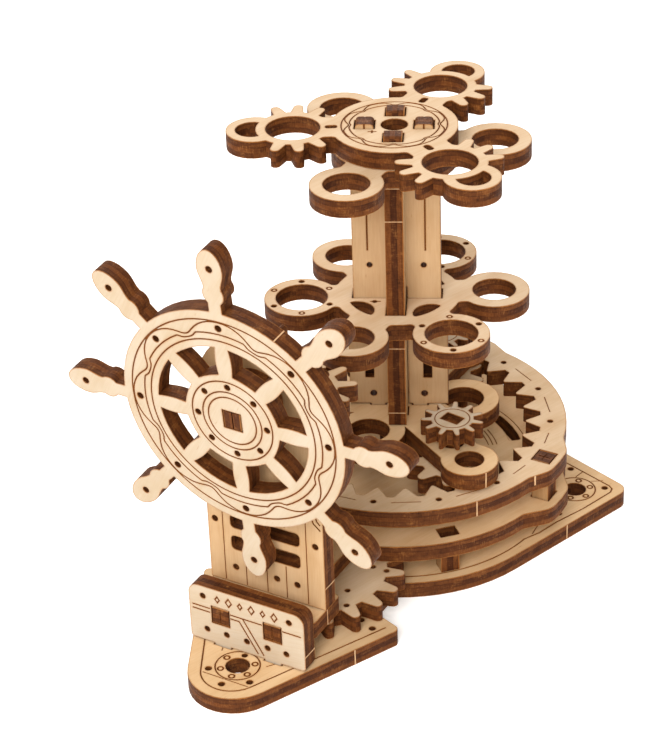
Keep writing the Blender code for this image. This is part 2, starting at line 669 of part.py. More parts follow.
def make_top(axis):
    plain = ring_lobe(TOP_PLAIN[0], TOP_PLAIN[1])
    angles = [30 + TOP_TURN + 120 * k for k in range(3)]
    outline = hub_with_lobes(TOP_HUB, [(angle, plain) for angle in angles])
    holes = [circle(polar(TOP_PLAIN[0], angle), TOP_PLAIN[2]) for angle in angles]
    loops = [outline] + holes + plank_windows(PLANK_HEAD_TENON)
    plate("top_ring_plate", loops, (0, 0, TOP_LOWER_Z), parent=axis)
    geared = geared_ring_lobe()
    angles = [90 + 120 * k for k in range(3)]
    loops = [hub_with_lobes(TOP_HUB, [(angle, geared) for angle in angles])]
    for angle in angles:
        loops.append(circle(polar(TOP_GEAR_RING[0], angle), TOP_GEAR_RING[2]))
        loops.append(turned(loop_window(), angle))
        peg = rectangle((0, 0), TOP_PEG[1], TOP_PEG[2])
        peg_hole = rounded([(x, y, 0.15) for x, y in peg])
        loops.append(turned(peg_hole, angle, polar(TOP_PEG[0], angle)))
    loops.append(circle((0, 0), TOP_CENTRE_HOLE))
    loops += plank_windows(PLANK_HEAD_TENON)
    plate("top_gear_plate", loops, (0, 0, TOP_UPPER_Z), parent=axis)


def make_planet(number, arm_angle, axis):
    pinion_phase = PINION_PHASE + arm_angle - 330 - CAROUSEL_TURN
    axle_turn = PLANET_AXLE_TURN + arm_angle - 330 - CAROUSEL_TURN
    half_x, half_y = PLANET_AXLE_HALF
    bore = rectangle((0, 0), half_x + GAP, half_y + GAP, axle_turn)
    mesh_phase = arm_angle - CAROUSEL_TURN * RING_TEETH / PLANET_TEETH + PLANET_SLACK
    teeth = gear((0, 0), PLANET_TEETH, 1.75, 2.58, 0.46, 0.29, mesh_phase)
    plate("planet_gear_%d" % number, [teeth, bore], (0, 0, PLANET_Z), GEAR_COLOUR, parent=axis)
    teeth = gear((0, 0), PINION_TEETH, 1.20, 1.76, 0.18, 0.13, pinion_phase)
    plate("planet_pinion_%d" % number, [teeth, bore], (0, 0, PINION_Z), WHEEL_COLOUR, parent=axis)
    outline = rectangle((0, 0), half_x, half_y, axle_turn)
    height = PINION_Z + 0.75 - PLANET_Z
    plate("planet_axle_%d" % number, [outline], (0, 0, PLANET_Z), AXLE_COLOUR, height, parent=axis)


clear_scene()
model = bpy.data.collections.new("desk_organiser")
bpy.context.scene.collection.children.link(model)

make_base()
make_deck()
make_ring_gear()
make_posts()
make_name_board()
make_tower()

wheel_axis = axis_empty("wheel_axis", WHEEL_PLACE, (90 + WHEEL_TILT, 0, WHEEL_YAW))
make_wheel(wheel_axis)
make_wheel_train(wheel_axis)

transfer_axis = axis_empty("transfer_axis", (0, TRANSFER_Y, 0))
make_transfer_train(transfer_axis)

carousel_axis = axis_empty("carousel_axis", (0, 0, 0))
make_spindle(carousel_axis)
make_carrier(carousel_axis)
make_column(carousel_axis)
make_mid_platform(carousel_axis)
make_top(carousel_axis)

for planet in range(3):
    planet_angle = 90 + CAROUSEL_TURN + 120 * planet
    x, y = polar(PLANET_RADIUS, planet_angle)
    planet_axis = axis_empty("planet_axis_%d" % (planet + 1), (x, y, 0), parent=carousel_axis)
    make_planet(planet + 1, planet_angle, planet_axis)
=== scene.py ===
"""Looks for the plywood desk organiser: birch ply, its engraving, a floor, soft light and a camera.

Plates that carry engraving are copies of their CAD nodes with real holes and grooves cut in. Every other
node keeps its mesh and gets a material. Small tabs of bare wood are added on cut edges. The engraving's
sizes are in sheets, the thickness of the plywood.
"""
import json
import math

import bmesh
import bpy
from mathutils import Matrix, Vector


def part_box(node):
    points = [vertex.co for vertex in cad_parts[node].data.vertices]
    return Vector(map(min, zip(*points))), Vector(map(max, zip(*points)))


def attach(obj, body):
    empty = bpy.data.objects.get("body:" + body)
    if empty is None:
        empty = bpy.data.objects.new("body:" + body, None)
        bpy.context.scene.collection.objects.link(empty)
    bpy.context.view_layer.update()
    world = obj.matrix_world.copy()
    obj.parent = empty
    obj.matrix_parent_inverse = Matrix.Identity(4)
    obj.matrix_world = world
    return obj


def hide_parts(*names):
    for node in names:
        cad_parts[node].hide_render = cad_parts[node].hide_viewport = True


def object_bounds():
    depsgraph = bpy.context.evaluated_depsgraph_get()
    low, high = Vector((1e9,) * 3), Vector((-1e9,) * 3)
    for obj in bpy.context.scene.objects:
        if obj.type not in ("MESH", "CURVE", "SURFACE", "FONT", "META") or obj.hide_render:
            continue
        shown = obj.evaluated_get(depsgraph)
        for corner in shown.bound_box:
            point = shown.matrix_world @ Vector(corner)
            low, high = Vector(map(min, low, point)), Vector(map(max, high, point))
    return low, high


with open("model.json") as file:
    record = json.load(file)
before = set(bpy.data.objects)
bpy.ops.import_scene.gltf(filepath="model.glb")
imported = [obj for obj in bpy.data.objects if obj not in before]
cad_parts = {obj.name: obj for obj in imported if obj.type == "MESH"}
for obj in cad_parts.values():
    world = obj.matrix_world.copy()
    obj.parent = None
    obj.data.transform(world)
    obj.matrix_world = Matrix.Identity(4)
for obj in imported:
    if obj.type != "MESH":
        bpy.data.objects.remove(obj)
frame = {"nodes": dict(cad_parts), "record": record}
cad_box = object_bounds()
joints = {joint["name"]: joint for joint in frame["record"]["behaviour"]["joints"]}
body_of = {node: body for body, nodes in frame["record"]["behaviour"]["bodies"].items() for node in nodes}
slot_of = {part["node"]: part["material_slot"] for part in frame["record"]["subparts"]}
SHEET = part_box("deck_plate")[1][2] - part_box("deck_plate")[0][2]

# ---- sizes of the engraving, in sheets ------------------------------------------------------------------
LINE = 0.080             # width of an engraved line
FINE_LINE = 0.055        # width of a fine engraved line
LINE_DEPTH = 0.05        # depth of every line and ring, except where a call gives its own
HOLE_DEPTH = 0.62        # depth of a rivet hole
DOT = 0.19               # radius of a rivet hole
CUT_START = 0.03         # how far above the face a cutter starts
TAB_PROUD = 0.02         # how far a tab stands out of its edge

# ---- lengths in metres ----------------------------------------------------------------------------------
MERGE_DISTANCE = 0.000002  # within this, two corners of a CAD mesh are one
FLOOR_GAP = 0.00002      # the floor lies this far below the object, so that their faces don't coincide

# ---- how the moving pieces stand at rest, in degrees ----------------------------------------------------
CAROUSEL_TURN = 0.8
PLANK_TURN = 25.5
HANDLE_TURN = 1.4
HANDLES = 8
ENGRAVING_EDGE = 32      # an edge sharper than this is shaded as an edge on an engraved piece
TAB_EDGE = 40            # and on a tab


def linear(red, green, blue):
    """A colour given as 0 to 255 display values, as the linear values a shader takes."""
    values = []
    for value in (red, green, blue):
        share = value / 255
        values.append(share / 12.92 if share <= 0.04045 else ((share + 0.055) / 1.055) ** 2.4)
    return (*values, 1.0)


# ---- materials ------------------------------------------------------------------------------------------
class Graph:
    """A short way to build a shader: each method adds one node and returns its output."""

    def __init__(self, material):
        material.use_nodes = True
        self.tree = material.node_tree
        self.tree.nodes.clear()

    def node(self, kind, **settings):
        made = self.tree.nodes.new(kind)
        for key, value in settings.items():
            setattr(made, key, value)
        return made

    def feed(self, socket, value):
        if isinstance(value, bpy.types.NodeSocket):
            self.tree.links.new(value, socket)
        else:
            socket.default_value = value

    def math(self, operation, first, second=0.0):
        made = self.node("ShaderNodeMath", operation=operation)
        self.feed(made.inputs[0], first)
        self.feed(made.inputs[1], second)
        return made.outputs[0]

    def times(self, value, factor):
        return self.math("MULTIPLY", value, factor)

    def dot(self, vector, axis):
        made = self.node("ShaderNodeVectorMath", operation="DOT_PRODUCT")
        self.feed(made.inputs[0], vector)
        self.feed(made.inputs[1], axis)
        return made.outputs["Value"]

    def span(self, value, low, high, to_low=0.0, to_high=1.0):
        """The value's place between low and high, eased and mapped to another span."""
        made = self.node("ShaderNodeMapRange", interpolation_type="SMOOTHSTEP")
        for socket, entry in zip(made.inputs, (value, low, high, to_low, to_high)):
            self.feed(socket, entry)
        return made.outputs[0]

    def noise(self, x, y, z, detail=3.0, roughness=0.55):
        """Noise of about -1 to 1 over coordinates that are already scaled."""
        place = self.node("ShaderNodeCombineXYZ")
        for socket, entry in zip(place.inputs, (x, y, z)):
            self.feed(socket, entry)
        made = self.node("ShaderNodeTexNoise")
        self.feed(made.inputs["Vector"], place.outputs[0])
        made.inputs["Scale"].default_value = 1.0
        made.inputs["Detail"].default_value = detail
        made.inputs["Roughness"].default_value = roughness
        return self.math("SUBTRACT", self.times(made.outputs["Fac"], 2.0), 1.0)

    def mix(self, factor, first, second):
        """A colour between two colours."""
        made = self.node("ShaderNodeMix", data_type="RGBA")
        self.feed(made.inputs["Factor"], factor)
        self.feed(made.inputs[6], first)
        self.feed(made.inputs[7], second)
        return made.outputs[2]

    def blend(self, factor, first, second):
        """A number between two numbers."""
        made = self.node("ShaderNodeMix", data_type="FLOAT")
        self.feed(made.inputs[0], factor)
        self.feed(made.inputs[2], first)
        self.feed(made.inputs[3], second)
        return made.outputs[0]

    def bands(self, value, stops):
        """A number that runs through stops of (place, number)."""
        made = self.node("ShaderNodeValToRGB")
        while len(made.color_ramp.elements) < len(stops):
            made.color_ramp.elements.new(0.5)
        for element, (place, number) in zip(made.color_ramp.elements, stops):
            element.position = place
            element.color = (number, number, number, 1.0)
        self.feed(made.inputs[0], value)
        return made.outputs["Color"]


FACES = {
    "plate_ply": (linear(206, 182, 153), linear(190, 158, 123)),
    "wheel_ply": (linear(184, 168, 148), linear(174, 153, 126)),
    "gear_ply": (linear(206, 181, 151), linear(188, 156, 120)),
    "axle_ply": (linear(170, 134, 93), linear(140, 103, 66)),
}
# Painted bounce light: the lower plates take warmer, deeper tones that stand in for warm light bounced
# onto them from the wood around
BOUNCE_WARMED_TONES = (linear(210, 179, 140), linear(192, 155, 112))
# Painted shade: the tower plates and column planks take darker, warmer tones that stand in for the shade
# they stand in
SHADE_DARKENED_TONES = (linear(192, 160, 123), linear(174, 138, 98))
# Tones for single nodes: the name board takes the wheel's tones, the others carry painted bounce light or
# painted shade
TONES = {
    "base_plate": BOUNCE_WARMED_TONES,
    "deck_plate": BOUNCE_WARMED_TONES,
    "bearing_shelf": BOUNCE_WARMED_TONES,
    "lower_platform": BOUNCE_WARMED_TONES,
    "tower_front_plate": SHADE_DARKENED_TONES,
    "tower_rear_plate": SHADE_DARKENED_TONES,
    "column_plank_a": SHADE_DARKENED_TONES,
    "column_plank_b": SHADE_DARKENED_TONES,
    "name_board": FACES["wheel_ply"],
}
FLECK = linear(146, 102, 60)
HALO = linear(176, 116, 56)
SCORCH = linear(96, 52, 22)
ENGRAVED = linear(112, 64, 28)
# Partly painted shade: the floors of deep holes are darkened both for burnt char and for the shade inside
# the hole
DEEP_CHAR_AND_SHADE = linear(46, 22, 8)
OUTER_PLY = linear(100, 56, 26)
OUTER_PLY_END = linear(78, 42, 20)
CORE_PLY = linear(96, 53, 24)
CORE_PLY_END = linear(68, 35, 17)
STREAK = linear(152, 98, 50)
LIP = linear(156, 98, 46)
GLUE = linear(38, 19, 10)


def plywood(name, tones, normal, underside, thickness, grain, seed):
    """Laser-cut birch plywood with faces of two tones.

    The plate's faces point along normal, and grain is the grain's direction. underside is how far along
    normal the plate starts and thickness how thick it is, both in sheets. seed moves the pattern.
    """
    material = bpy.data.materials.new(name)
    graph = Graph(material)
    normal = Vector(normal).normalized()
    grain = Vector(grain)
    grain = (grain - normal * grain.dot(normal)).normalized()
    across = normal.cross(grain)
    place = graph.node("ShaderNodeTexCoord").outputs["Object"]
    geometry = graph.node("ShaderNodeNewGeometry")
    turn = graph.node("ShaderNodeVectorTransform", vector_type="NORMAL",
                      convert_from="WORLD", convert_to="OBJECT")
    graph.feed(turn.inputs[0], geometry.outputs["True Normal"])
    local_normal = turn.outputs[0]
    height = graph.math("SUBTRACT", graph.dot(place, normal / SHEET), underside)
    share = graph.math("DIVIDE", height, thickness)
    along = graph.math("ADD", graph.dot(place, grain / SHEET), 13.7 * seed)
    aside = graph.math("ADD", graph.dot(place, across / SHEET), 7.3 * seed)
    facing = graph.math("ABSOLUTE", graph.dot(local_normal, normal))
    is_face = graph.span(facing, 0.6, 0.8)
    end_grain = graph.span(graph.math("ABSOLUTE", graph.dot(local_normal, grain)), 0.15, 0.95)

    def grainy(lengthwise, sideways, layer, detail, roughness=0.55):
        """Noise in so many features a sheet along and across the grain; layer is its third coordinate."""
        x = graph.times(along, lengthwise)
        y = graph.times(aside, sideways)
        return graph.noise(x, y, layer, detail, roughness)

    # The face: broad bands, fine fibres and short dark flecks, all stretched along the grain.
    pale, warm = tones
    cloud = grainy(0.45, 0.6, 5.0, 2.0)
    fibre = grainy(0.55, 10.0, 2.0, 4.0, 0.7)
    fleck = grainy(1.6, 9.0, 9.0, 1.0)
    tone = graph.times(grainy(0.10, 0.9, 0.0, 3.0), 0.9)
    tone = graph.math("ADD", tone, graph.times(cloud, 0.7))
    tone = graph.math("ADD", tone, graph.times(fibre, 0.75))
    face = graph.mix(graph.span(tone, -0.9, 1.0), pale, warm)
    face = graph.mix(graph.span(fleck, 0.42, 0.66, 0.0, 0.45), face, FLECK)

    # Where the face meets a cut, the laser leaves a dark line and a brown haze.
    rounding = graph.node("ShaderNodeBevel", samples=6)
    rounding.inputs["Radius"].default_value = 0.17 * SHEET
    meeting = graph.math("SUBTRACT", 1.0, graph.dot(rounding.outputs[0], geometry.outputs["True Normal"]))
    patchy = graph.span(cloud, -0.6, 0.7, 0.45, 1.0)
    haze = graph.math("MULTIPLY", graph.span(meeting, 0.0, 0.13), patchy)
    face = graph.mix(graph.times(haze, 0.75), face, HALO)
    face = graph.mix(graph.span(meeting, 0.13, 0.24, 0.0, 0.60), face, SCORCH)

    # Below a face lies an engraved floor, the darker the deeper: deeper burning chars it more, and the
    # deep floors of holes are also given painted shade.
    depth = graph.math("MINIMUM", height, graph.math("SUBTRACT", thickness, height))
    soot = grainy(3.0, 3.0, 4.0, 2.0)
    shallow = graph.mix(graph.span(soot, -0.5, 0.6), ENGRAVED, SCORCH)
    floor_colour = graph.mix(graph.span(depth, 0.10, 0.35), shallow, DEEP_CHAR_AND_SHADE)
    face = graph.mix(graph.span(depth, 0.01, 0.03), face, floor_colour)

    # The cut: three plies with glue lines between them, streaks along the plies and upright ridges.
    ridges = grainy(16.0, 16.0, graph.times(height, 3.0), 3.0, 0.7)
    streaks = grainy(2.2, 2.2, graph.times(height, 11.0), 4.0, 0.7)
    blotch = grainy(1.2, 1.2, graph.times(height, 1.6), 4.0, 0.65)
    wobble = grainy(0.8, 0.8, 1.0, 2.0)
    level = graph.math("ADD", share, graph.times(wobble, 0.05))
    outer = graph.mix(end_grain, OUTER_PLY, OUTER_PLY_END)
    core = graph.mix(end_grain, CORE_PLY_END, CORE_PLY)
    is_core = graph.bands(level, ((0.0, 0.0), (0.31, 0.0), (0.35, 1.0), (0.63, 1.0), (0.67, 0.0)))
    cut = graph.mix(is_core, outer, core)
    glue = graph.bands(level, ((0.05, 0.0), (0.27, 0.0), (0.32, 0.5), (0.37, 0.0), (0.59, 0.0),
                               (0.64, 1.0), (0.69, 0.0), (0.82, 0.0), (0.89, 0.75), (0.94, 0.2)))
    cut = graph.mix(graph.times(glue, graph.span(blotch, -0.5, 0.6, 0.75, 0.25)), cut, GLUE)
    shade = graph.math("ADD", graph.times(ridges, 0.85), graph.times(blotch, 1.0))
    shade = graph.math("ADD", shade, graph.times(streaks, 0.8))
    cut = graph.mix(graph.span(shade, 0.0, 1.05, 0.0, 0.70), cut, STREAK)
    cut = graph.mix(graph.span(shade, -1.0, 0.0, 0.80, 0.0), cut, GLUE)
    rim = graph.math("MAXIMUM", graph.span(share, 0.93, 0.97), graph.span(share, 0.0, 0.05, 1.0, 0.0))
    cut = graph.mix(graph.math("MULTIPLY", rim, graph.span(blotch, -0.6, 0.5, 0.35, 0.9)), cut, LIP)

    shader = graph.node("ShaderNodeBsdfPrincipled")
    graph.feed(shader.inputs["Base Color"], graph.mix(is_face, cut, face))
    face_rough = graph.span(fibre, -0.8, 0.8, 0.58, 0.72)
    cut_rough = graph.span(shade, -0.8, 0.8, 0.62, 0.46)
    graph.feed(shader.inputs["Roughness"], graph.blend(is_face, cut_rough, face_rough))
    shader.inputs["Specular IOR Level"].default_value = 0.06
    bump = graph.node("ShaderNodeBump")
    bump.inputs["Strength"].default_value = 0.8
    bump.inputs["Distance"].default_value = 1.0
    relief = graph.blend(is_face, graph.times(shade, 0.018 * SHEET), graph.times(fibre, 0.005 * SHEET))
    graph.feed(bump.inputs["Height"], relief)
    graph.feed(shader.inputs["Normal"], bump.outputs[0])
    output = graph.node("ShaderNodeOutputMaterial")
    graph.feed(output.inputs["Surface"], shader.outputs[0])
    return material


def bare_wood(name, colour):
    """Unburnt wood, as left where a tab was snapped off."""
    material = bpy.data.materials.new(name)
    graph = Graph(material)
    place = graph.node("ShaderNodeTexCoord").outputs["Object"]
    x = graph.dot(place, Vector((9.0, 0.0, 0.0)) / SHEET)
    y = graph.dot(place, Vector((0.0, 9.0, 0.0)) / SHEET)
    z = graph.dot(place, Vector((0.0, 0.0, 2.0)) / SHEET)
    fibre = graph.noise(x, y, z, 3.0)
    shader = graph.node("ShaderNodeBsdfPrincipled")
    darker = linear(176, 128, 84)
    graph.feed(shader.inputs["Base Color"], graph.mix(graph.span(fibre, -0.6, 0.6), colour, darker))
    graph.feed(shader.inputs["Roughness"], graph.span(fibre, -0.6, 0.6, 0.55, 0.75))
    bump = graph.node("ShaderNodeBump")
    bump.inputs["Distance"].default_value = 0.01 * SHEET
    graph.feed(bump.inputs["Height"], fibre)
    graph.feed(shader.inputs["Normal"], bump.outputs[0])
    output = graph.node("ShaderNodeOutputMaterial")
    graph.feed(output.inputs["Surface"], shader.outputs[0])
    return material


# ---- planes of the plates -------------------------------------------------------------------------------
UP = Vector((0, 0, 1))
FRONT = Vector((0, -1, 0))


def frame_of(origin, right, up):
    """A plane's matrix: X and Y lie in a plate's face, Z points out of it, and the unit is the sheet."""
    out = right.cross(up)
    matrix = Matrix((right, up, out)).transposed().to_4x4()
    matrix.translation = origin
    return matrix @ Matrix.Scale(SHEET, 4)


def level_plane(node):
    return frame_of(Vector((0, 0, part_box(node)[1][2])), Vector((1, 0, 0)), Vector((0, 1, 0)))


def front_plane(node):
    return frame_of(Vector((0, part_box(node)[0][1], 0)), Vector((1, 0, 0)), Vector((0, 0, 1)))


def upright_plane(out, distance):
    """A plane that stands at a distance of so many sheets from the carousel's axis, and faces out."""
    return frame_of(out * (distance * SHEET), UP.cross(out), UP)


def level_direction(angle):
    return Vector((math.cos(math.radians(angle)), math.sin(math.radians(angle)), 0))


wheel_out = Vector(joints["wheel_spin"]["axis"]).normalized()
wheel_right = UP.cross(wheel_out).normalized()
plank_a = level_direction(PLANK_TURN + 90)
plank_b = level_direction(PLANK_TURN)
WHEEL_PLANE = frame_of(Vector(joints["wheel_spin"]["pos_m"]), wheel_right, wheel_out.cross(wheel_right))


# ---- outlines of the engraving --------------------------------------------------------------------------
def polar(radius, angle, centre=(0.0, 0.0)):
    turn = math.radians(angle)
    return (centre[0] + radius * math.cos(turn), centre[1] + radius * math.sin(turn))


def arc(radius, start, end, centre=(0.0, 0.0), step=5.0):
    count = max(2, math.ceil(abs(end - start) / step))
    return [polar(radius, start + (end - start) * i / count, centre) for i in range(count + 1)]


class Cutter:
    """A mesh of prisms to be cut out of the face in a plane; prisms of one cutter may not touch."""

    def __init__(self, plane):
        self.plane = plane
        self.mesh = bmesh.new()

    def prism(self, loops, depth):
        """A prism from just above the face down to depth, with one outline or an outline and its hole."""
        rings = []
        for loop in loops:
            top = [self.mesh.verts.new((x, y, CUT_START)) for x, y in loop]
            bottom = [self.mesh.verts.new((x, y, -depth)) for x, y in loop]
            count = len(loop)
            for i in range(count):
                after = (i + 1) % count
                self.mesh.faces.new((top[i], top[after], bottom[after], bottom[i]))
            rings.append((top, bottom))
        if len(rings) == 1:
            self.mesh.faces.new(rings[0][0])
            self.mesh.faces.new(list(reversed(rings[0][1])))
            return
        for level in (0, 1):
            first = rings[0][level]
            second = rings[1][level]
            for i in range(len(first)):
                after = (i + 1) % len(first)
                self.mesh.faces.new((first[i], first[after], second[after], second[i]))

    def hole(self, centre, radius=DOT, depth=HOLE_DEPTH):
        self.prism([arc(radius, 0, 360, centre, 22.5)[:-1]], depth)

    def ring(self, centre, radius, width=LINE, depth=LINE_DEPTH, step=4.0):
        outer = arc(radius + width / 2, 0, 360, centre, step)[:-1]
        inner = arc(radius - width / 2, 0, 360, centre, step)[:-1]
        self.prism([outer, inner], depth)

    def rivet(self, centre):
        """A ringed rivet mark."""
        self.ring(centre, 0.155, 0.10, LINE_DEPTH, 30.0)

    def offsets(self, points, closed, width):
        """The two sides of a line of this width, mitred at its corners."""
        left = []
        right = []
        count = len(points)
        for i, (x, y) in enumerate(points):
            before = points[i - 1] if closed or i > 0 else points[i]
            after = points[(i + 1) % count] if closed or i < count - 1 else points[i]
            come = Vector((x - before[0], y - before[1]))
            leave = Vector((after[0] - x, after[1] - y))
            if come.length == 0:
                come = leave
            if leave.length == 0:
                leave = come
            heading = come.normalized() + leave.normalized()
            side = Vector((-heading.y, heading.x)).normalized()
            stretch = 1 / max(0.4, side.dot(Vector((-come.y, come.x)).normalized()))
            reach = side * (width / 2 * stretch)
            left.append((x + reach.x, y + reach.y))
            right.append((x - reach.x, y - reach.y))
        return left, right

    def line(self, points, width=LINE, depth=LINE_DEPTH):
        """A groove along an open line."""
        left, right = self.offsets(points, False, width)
        verts = []
        for z in (CUT_START, -depth):
            verts.append([[self.mesh.verts.new((x, y, z)) for x, y in side] for side in (left, right)])
        (top_left, top_right), (low_left, low_right) = verts
        last = len(points) - 1
        for i in range(last):
            self.mesh.faces.new((top_left[i], top_right[i], top_right[i + 1], top_left[i + 1]))
            self.mesh.faces.new((low_left[i + 1], low_right[i + 1], low_right[i], low_left[i]))
            self.mesh.faces.new((top_left[i + 1], low_left[i + 1], low_left[i], top_left[i]))
            self.mesh.faces.new((top_right[i], low_right[i], low_right[i + 1], top_right[i + 1]))
        self.mesh.faces.new((top_left[0], low_left[0], low_right[0], top_right[0]))
        self.mesh.faces.new((top_right[last], low_right[last], low_left[last], top_left[last]))

    def closed_line(self, points, width=LINE, depth=LINE_DEPTH):
        left, right = self.offsets(points, True, width)
        self.prism([left, right], depth)

    def made(self, name):
        bmesh.ops.recalc_face_normals(self.mesh, faces=self.mesh.faces)
        mesh = bpy.data.meshes.new(name)
        self.mesh.to_mesh(mesh)
        self.mesh.free()
        mesh.transform(self.plane)
        cutter = bpy.data.objects.new(name, mesh)
        bpy.context.scene.collection.objects.link(cutter)
        return cutter


def engraved(node, cutters):
    """A copy of a CAD node with its engraving cut in, which stands for the node."""
    mesh = frame["nodes"][node].data.copy()
    if "custom_normal" in mesh.attributes:
        mesh.attributes.remove(mesh.attributes["custom_normal"])
    shell = bmesh.new()
    shell.from_mesh(mesh)
    bmesh.ops.remove_doubles(shell, verts=shell.verts, dist=MERGE_DISTANCE)
    shell.to_mesh(mesh)
    shell.free()
    piece = bpy.data.objects.new(node + "_engraved", mesh)
    bpy.context.scene.collection.objects.link(piece)
    tools = [cutter.made("cutter") for cutter in cutters]
    for tool in tools:
        cut = piece.modifiers.new("cut", "BOOLEAN")
        cut.operation = "DIFFERENCE"
        cut.solver = "EXACT"
        cut.object = tool
    ready = piece.evaluated_get(bpy.context.evaluated_depsgraph_get())
    result = bpy.data.meshes.new_from_object(ready)
    piece.modifiers.clear()
    piece.data = result
    for tool in tools:
        bpy.data.objects.remove(tool)
    if len(result.polygons) < len(mesh.polygons):
        raise RuntimeError(node + ": the engraving could not be cut")
    result.shade_smooth()
    result.set_sharp_from_angle(angle=math.radians(ENGRAVING_EDGE))
    result.name = piece.name
    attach(piece, body_of[node])
    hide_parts(node)
    return piece


# ---- the ship's wheel -----------------------------------------------------------------------------------
def mirrored_period(half, count, start):
    """A closed wave: half is (angle, radius) from a crest to the next trough, repeated count times."""
    period = 360 / count
    points = []
    for k in range(count):
        crest = start + period * k
        points += [polar(radius, crest + angle) for angle, radius in half]
        points += [polar(radius, crest + period - angle) for angle, radius in reversed(half[1:-1])]
    return points


def engrave_wheel():
    rings = Cutter(WHEEL_PLANE)
    for radius in (6.03, 4.87, 2.38, 1.75, 1.42):
        rings.ring((0, 0), radius, LINE, LINE_DEPTH, 3.0)
    low_line = [(0, 5.27), (5, 5.27), (10, 5.27), (15.3, 5.27), (16.6, 5.21), (18.2, 5.11), (20, 5.06),
                (22.5, 5.045)]
    rings.closed_line(mirrored_period(low_line, HANDLES, HANDLE_TURN))
    waves = Cutter(WHEEL_PLANE)
    arch = [(0, 5.99), (3, 5.98), (6, 5.94), (9, 5.86), (12, 5.75), (15, 5.60), (17.5, 5.45), (19.5, 5.33),
            (21, 5.27), (22.5, 5.25)]
    waves.closed_line(mirrored_period(arch, HANDLES, HANDLE_TURN))
    holes = Cutter(WHEEL_PLANE)
    for k in range(HANDLES):
        angle = HANDLE_TURN + 360 / HANDLES * k
        holes.hole(polar(5.63, angle), 0.20)
        holes.hole(polar(2.06, angle), 0.185)
    return engraved("ship_wheel", [rings, waves, holes])


def engrave_axle():
    slit = Cutter(WHEEL_PLANE)
    slit.line([(0.02, -0.56), (0.02, 0.56)], 0.07, 0.2)
    return engraved("wheel_axle", [slit])


# ---- the name board and the tower -----------------------------------------------------------------------
def engrave_board():
    plane = front_plane("name_board")
    lines = Cutter(plane)
    strokes = Cutter(plane)
    lines.line([(-3.35, 3.28), (-2.25, 3.28)])
    lines.line([(-3.35, 3.03), (-2.25, 3.03)])
    lines.line([(-1.0, 3.28), (0.98, 3.28)])
    lines.line([(-1.0, 3.03), (-0.45, 3.03)])
    lines.line([(2.22, 3.28), (3.35, 3.28)])
    strokes.line([(-0.2, 3.25), (1.0, 1.25)])
    strokes.line([(-0.45, 3.05), (0.65, 1.25)])
    row = 4.02               # height of the row of diamonds
    for k in range(6):
        middle = -1.75 + 0.7 * k
        half = 0.26 if k % 2 else 0.19
        side = half * 0.7
        lines.closed_line([(middle - side, row), (middle, row - half),
                           (middle + side, row), (middle, row + half)])
    for x, z in ((-2.5, 1.85), (-1.28, 1.85), (1.25, 1.85), (2.4, 1.85), (-2.65, 4.0), (2.65, 4.0)):
        lines.hole((x, z), 0.18)
    low = Cutter(plane)
    low.hole((-0.03, 1.85), 0.18)
    return engraved("name_board", [lines, strokes, low])


def engrave_tower():
    lines = Cutter(front_plane("tower_front_plate"))
    for x, low, high in ((-2.62, 3.6, 8.6), (2.5, 3.6, 9.2)):
        lines.line([(x, low), (x, high)], FINE_LINE)
    for x in (-1.3, 0.0, 1.2):
        lines.line([(x, 3.6), (x, 5.65)], FINE_LINE)
        lines.line([(x, 8.15), (x, 9.6)], FINE_LINE)
    for x, z in ((-3.1, 7.43), (3.05, 7.5), (-1.95, 4.6), (0.6, 4.65), (1.85, 4.65), (-0.65, 4.62)):
        lines.hole((x, z))
    for side in (-1, 1):
        lines.line([(side * 3.4, 8.6), (side * 3.0, 8.95), (side * 2.8, 9.5), (side * 2.9, 10.4)])
        lines.line([(side * 3.4, 8.95), (side * 3.2, 9.15), (side * 3.1, 9.6), (side * 3.15, 10.2)])
    return engraved("tower_front_plate", [lines])


# ---- the level plates -----------------------------------------------------------------------------------
def engrave_base():
    plane = level_plane("base_plate")
    rings = Cutter(plane)
    holes = Cutter(plane)
    nose = (0.0, -18.667)
    rings.ring(nose, 1.2)
    for angle in (35, -26, -79, -138, 159):
        rings.rivet(polar(0.93, angle, nose))
    holes.hole(polar(0.92, 97, nose), 0.17)
    for x, y in ((-1.27, -19.57), (1.29, -19.58), (0.04, -20.38)):
        holes.hole((x, y))
    rings.line([(-1.42, -17.95), (-1.62, -17.35)], FINE_LINE)
    rings.line([(1.42, -18.05), (1.75, -17.6)], FINE_LINE)
    lines = Cutter(plane)
    lines.line([(5.46, -12.2)] + arc(1.74, -26, -154, (0, -19.11), 8) + [(-5.46, -12.2)])
    cross = Cutter(plane)
    cross.line([(-1.4, -19.95), (1.4, -19.95)], FINE_LINE)
    for side in (-1, 1):
        holes.hole((side * 4.85, -12.6))
        holes.hole((side * 3.95, -12.2))
        ear = (side * 9.09, 4.5)
        rings.ring(ear, 1.2)
        for angle in (100, 41, -22, -81, -141, 160):
            reach = polar(0.93, angle)
            rings.rivet((ear[0] + side * reach[0], ear[1] + reach[1]))
        for x, y in ((8.0, 6.35), (10.6, 5.4), (9.3, 1.8)):
            holes.hole((side * x, y))
        border = [(7.3, 6.9), (10.75, 5.72), (11.02, 5.5), (11.08, 5.15), (10.35, 2.9), (9.55, 1.0),
                  (9.12, -0.4)]
        border += arc(8.72, -9, -62, step=3)
        lines.line([(side * x, y) for x, y in border])
        rings.line([(side * 8.78, 6.45), (side * 8.62, 5.72)], FINE_LINE)
        rings.line([(side * 10.2, 6.05), (side * 9.62, 5.68)], FINE_LINE)
        cross.line([(side * 8.69, 0.63), (side * 8.80, -0.72)], FINE_LINE)
    return engraved("base_plate", [rings, holes, lines, cross])


